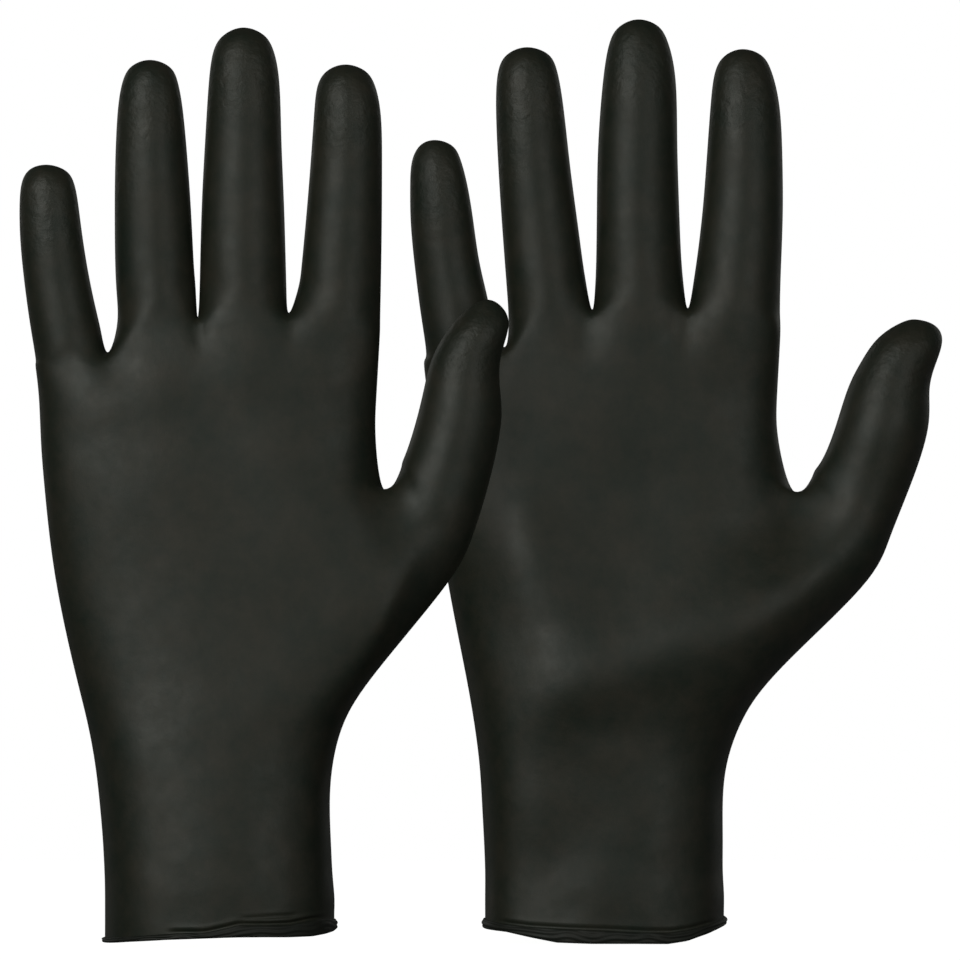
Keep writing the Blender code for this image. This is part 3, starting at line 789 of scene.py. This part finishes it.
def soft_light(name, power, azimuth, elevation, distance, size, shadow=True):
    """A square soft light aimed at the middle of the pair. Azimuth 0 is in front, and 90 on the right."""
    turn = math.radians(azimuth)
    rise = math.radians(elevation)
    away = Vector((math.sin(turn) * math.cos(rise), -math.cos(turn) * math.cos(rise), math.sin(rise)))
    light = bpy.data.lights.new(name, "AREA")
    light.size = size
    light.energy = power
    light.color = LIGHT_COLOUR
    light.use_shadow = shadow
    lamp = bpy.data.objects.new(name, light)
    lamp.location = PAIR_MIDDLE + away * distance
    lamp.rotation_euler = away.to_track_quat("Z", "Y").to_euler()
    bpy.context.scene.collection.objects.link(lamp)


def studio_surround(strength):
    """White behind the gloves, and a dimmer surround for what lights them."""
    world = bpy.data.worlds.new("studio")
    world.use_nodes = True
    nodes = world.node_tree.nodes
    link = world.node_tree.links.new
    seen = nodes.new("ShaderNodeLightPath")
    level = nodes.new("ShaderNodeMapRange")
    level.inputs["To Min"].default_value = strength
    level.inputs["To Max"].default_value = 1.0
    link(seen.outputs["Is Camera Ray"], level.inputs["Value"])
    background = nodes["Background"]
    background.inputs["Color"].default_value = (1.0, 1.0, 1.0, 1.0)
    link(level.outputs["Result"], background.inputs["Strength"])
    bpy.context.scene.world = world


def studio_floor(size, colour):
    """A plain pale table top just under the cuffs."""
    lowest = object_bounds()[0].z
    mesh = bpy.data.meshes.new("table_top")
    shape = bmesh.new()
    bmesh.ops.create_grid(shape, x_segments=1, y_segments=1, size=size / 2)
    shape.to_mesh(mesh)
    shape.free()
    floor = bpy.data.objects.new("table_top", mesh)
    floor.location = (PAIR_MIDDLE.x, PAIR_MIDDLE.y, lowest - 0.2 * MM)
    material = bpy.data.materials.new("pale table top")
    material.use_nodes = True
    shader = material.node_tree.nodes["Principled BSDF"]
    shader.inputs["Base Color"].default_value = (*colour, 1.0)
    shader.inputs["Roughness"].default_value = 0.9
    shader.inputs["Emission Color"].default_value = (1.0, 1.0, 1.0, 1.0)
    shader.inputs["Emission Strength"].default_value = 0.9
    mesh.materials.append(material)
    bpy.context.scene.collection.objects.link(floor)
    floor.visible_glossy = False
    floor.visible_diffuse = False
    floor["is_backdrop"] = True


def studio_camera(distance, lens):
    """A level camera in front of the pair."""
    camera = bpy.data.cameras.new("camera")
    camera.lens = lens
    camera.clip_end = 50.0
    holder = bpy.data.objects.new("camera", camera)
    holder.location = (PAIR_MIDDLE.x + CAMERA_ASIDE, -distance, PAIR_MIDDLE.z + CAMERA_RAISE)
    holder.rotation_euler = (math.radians(90.0), 0.0, 0.0)
    bpy.context.scene.collection.objects.link(holder)
    bpy.context.scene.camera = holder


# ---- settings, operators and panel ----

class GloveFilmSettings(bpy.types.PropertyGroup):
    """What a user would change on the film."""

    thickness: FloatProperty(
        name="Film thickness", description="Thickness of the dipped film",
        default=0.12 * MM, min=0.03 * MM, max=0.5 * MM, precision=5, unit="LENGTH")
    smoothness: IntProperty(
        name="Smoothness", description="How many times the coarse film is divided",
        default=3, min=1, max=4)
    colour: FloatVectorProperty(
        name="Film colour", description="Colour of the nitrile film",
        default=(0.0225, 0.0250, 0.0165), min=0.0, max=1.0, size=3, subtype="COLOR")
    roughness: FloatProperty(
        name="Film roughness", description="How matt the film is",
        default=0.49, min=0.1, max=0.9, subtype="FACTOR")
    grain: FloatProperty(
        name="Grain height", description="Height of the film's fine grain",
        default=0.02 * MM, min=0.0, max=0.2 * MM, precision=5, unit="LENGTH")


class CuffRollSettings(bpy.types.PropertyGroup):
    """What a user would change on the rolled cuffs."""

    bulge: FloatProperty(
        name="Roll bulge", description="How far the roll stands out from the film",
        default=0.95 * MM, min=0.3 * MM, max=3.0 * MM, precision=5, unit="LENGTH")
    fold_depth: FloatProperty(
        name="Fold depth", description="Depth of the roll's folds as a share of its bulge",
        default=0.38, min=0.0, max=0.9, subtype="FACTOR")
    points_around: IntProperty(
        name="Points around", description="Points round the roll's section",
        default=32, min=8, max=64)
    colour: FloatVectorProperty(
        name="Roll colour", description="Colour of the rolled edge",
        default=(0.012, 0.014, 0.010), min=0.0, max=1.0, size=3, subtype="COLOR")


class StudioSettings(bpy.types.PropertyGroup):
    """The studio round the gloves."""

    floor_size: FloatProperty(
        name="Table size", description="Width of the table top",
        default=1.3, min=0.5, max=10.0, unit="LENGTH")
    floor_colour: FloatVectorProperty(
        name="Table colour", description="Colour of the table top",
        default=(0.86, 0.86, 0.86), min=0.0, max=1.0, size=3, subtype="COLOR")
    key_power: FloatProperty(
        name="Key light", description="Power of the large light on the left",
        default=8.7, min=0.0, max=1000.0, unit="POWER")
    fill_power: FloatProperty(
        name="Fill light", description="Power of the light beside the camera",
        default=6.5, min=0.0, max=1000.0, unit="POWER")
    back_power: FloatProperty(
        name="Back lights", description="Power of each of the two lights behind the gloves",
        default=1.3, min=0.0, max=1000.0, unit="POWER")
    surround: FloatProperty(
        name="Surround", description="Brightness of the room that lights the gloves",
        default=0.04, min=0.0, max=1.0, subtype="FACTOR")
    camera_distance: FloatProperty(
        name="Camera distance", description="How far in front of the gloves the camera stands",
        default=3.0, min=0.5, max=10.0, unit="LENGTH")
    camera_lens: FloatProperty(
        name="Camera lens", description="Focal length of the camera",
        default=428.9, min=35.0, max=800.0, unit="CAMERA")


def film_material(settings):
    """The film's finish, made once."""
    name = "black nitrile film"
    return bpy.data.materials.get(name) or nitrile(name, settings.colour, settings.roughness, settings.grain)


class GLOVES_OT_hands(bpy.types.Operator):
    """Make the hand of each glove: cuff, palm and back in one film"""

    bl_idname = "gloves.hands"
    bl_label = "Make Hands"

    def execute(self, context):
        settings = context.scene.glove_film
        for side in GLOVES:
            hand = film_piece(side + "_hand_film", side, "hand", settings, film_material(settings))
            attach(hand, side + "_glove")
            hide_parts(side + "_palm", side + "_back", side + "_cuff")
        return {"FINISHED"}


class GLOVES_OT_fingers(bpy.types.Operator):
    """Make the five fingers of each glove, each parted from the hand at its root"""

    bl_idname = "gloves.fingers"
    bl_label = "Make Fingers"

    def execute(self, context):
        settings = context.scene.glove_film
        for side in GLOVES:
            for digit in DIGITS:
                name = side + "_" + digit
                finger = film_piece(name + "_film", side, digit, settings, film_material(settings))
                start, end = fold_band(side, digit)
                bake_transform(finger)
                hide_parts(name + "_root", name + "_sleeve")
        return {"FINISHED"}


class GLOVES_OT_cuff_rolls(bpy.types.Operator):
    """Make the rolled edge of each cuff"""

    bl_idname = "gloves.cuff_rolls"
    bl_label = "Make Cuff Rolls"

    def execute(self, context):
        film = context.scene.glove_film
        settings = context.scene.glove_cuff_roll
        material = nitrile("rolled nitrile edge", settings.colour, film.roughness + 0.1, film.grain)
        for side in GLOVES:
            roll = cuff_roll(side + "_cuff_roll", side, film, settings, material)
            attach(roll, side + "_glove")
            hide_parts(side + "_cuff_bead")
        return {"FINISHED"}


class GLOVES_OT_studio(bpy.types.Operator):
    """Make the table top, the lights and the camera"""

    bl_idname = "gloves.studio"
    bl_label = "Make Studio"

    def execute(self, context):
        settings = context.scene.glove_studio
        studio_floor(settings.floor_size, settings.floor_colour)
        studio_surround(settings.surround)
        # the key light casts no shadow, so that the left thumb doesn't darken the right glove
        soft_light("key light", settings.key_power, azimuth=-31.0, elevation=19.0,
                   distance=1.6, size=1.0, shadow=False)
        soft_light("fill light", settings.fill_power, azimuth=30.0, elevation=8.0, distance=2.4, size=1.3)
        for name, azimuth in (("left back light", -140.0), ("right back light", 140.0)):
            soft_light(name, settings.back_power, azimuth, elevation=15.0, distance=1.8, size=1.0)
        studio_camera(settings.camera_distance, settings.camera_lens)
        context.scene.view_settings.view_transform = "Standard"
        return {"FINISHED"}


class GLOVES_PT_panel(bpy.types.Panel):
    """Buttons and sizes for the gloves"""

    bl_label = "Disposable Gloves"
    bl_idname = "GLOVES_PT_panel"
    bl_space_type = "VIEW_3D"
    bl_region_type = "UI"
    bl_category = "Gloves"

    def draw(self, context):
        layout = self.layout
        for operators, settings in PANEL_ROWS:
            box = layout.box()
            group = getattr(context.scene, settings)
            for name in group.bl_rna.properties.keys():
                if name not in ("rna_type", "name"):
                    box.prop(group, name)
            for operator in operators:
                box.operator(operator.bl_idname)


PANEL_ROWS = (
    ((GLOVES_OT_hands, GLOVES_OT_fingers), "glove_film"),
    ((GLOVES_OT_cuff_rolls,), "glove_cuff_roll"),
    ((GLOVES_OT_studio,), "glove_studio"),
)
CLASSES = (
    GloveFilmSettings, CuffRollSettings, StudioSettings,
    GLOVES_OT_hands, GLOVES_OT_fingers, GLOVES_OT_cuff_rolls, GLOVES_OT_studio, GLOVES_PT_panel,
)


def register():
    for item in CLASSES:
        bpy.utils.register_class(item)
    bpy.types.Scene.glove_film = PointerProperty(type=GloveFilmSettings)
    bpy.types.Scene.glove_cuff_roll = PointerProperty(type=CuffRollSettings)
    bpy.types.Scene.glove_studio = PointerProperty(type=StudioSettings)


def unregister():
    del bpy.types.Scene.glove_studio
    del bpy.types.Scene.glove_cuff_roll
    del bpy.types.Scene.glove_film
    for item in reversed(CLASSES):
        bpy.utils.unregister_class(item)


def main():
    register()
    bpy.ops.gloves.hands()
    bpy.ops.gloves.fingers()
    bpy.ops.gloves.cuff_rolls()
    bpy.ops.gloves.studio()


if __name__ == "__main__":
    main()
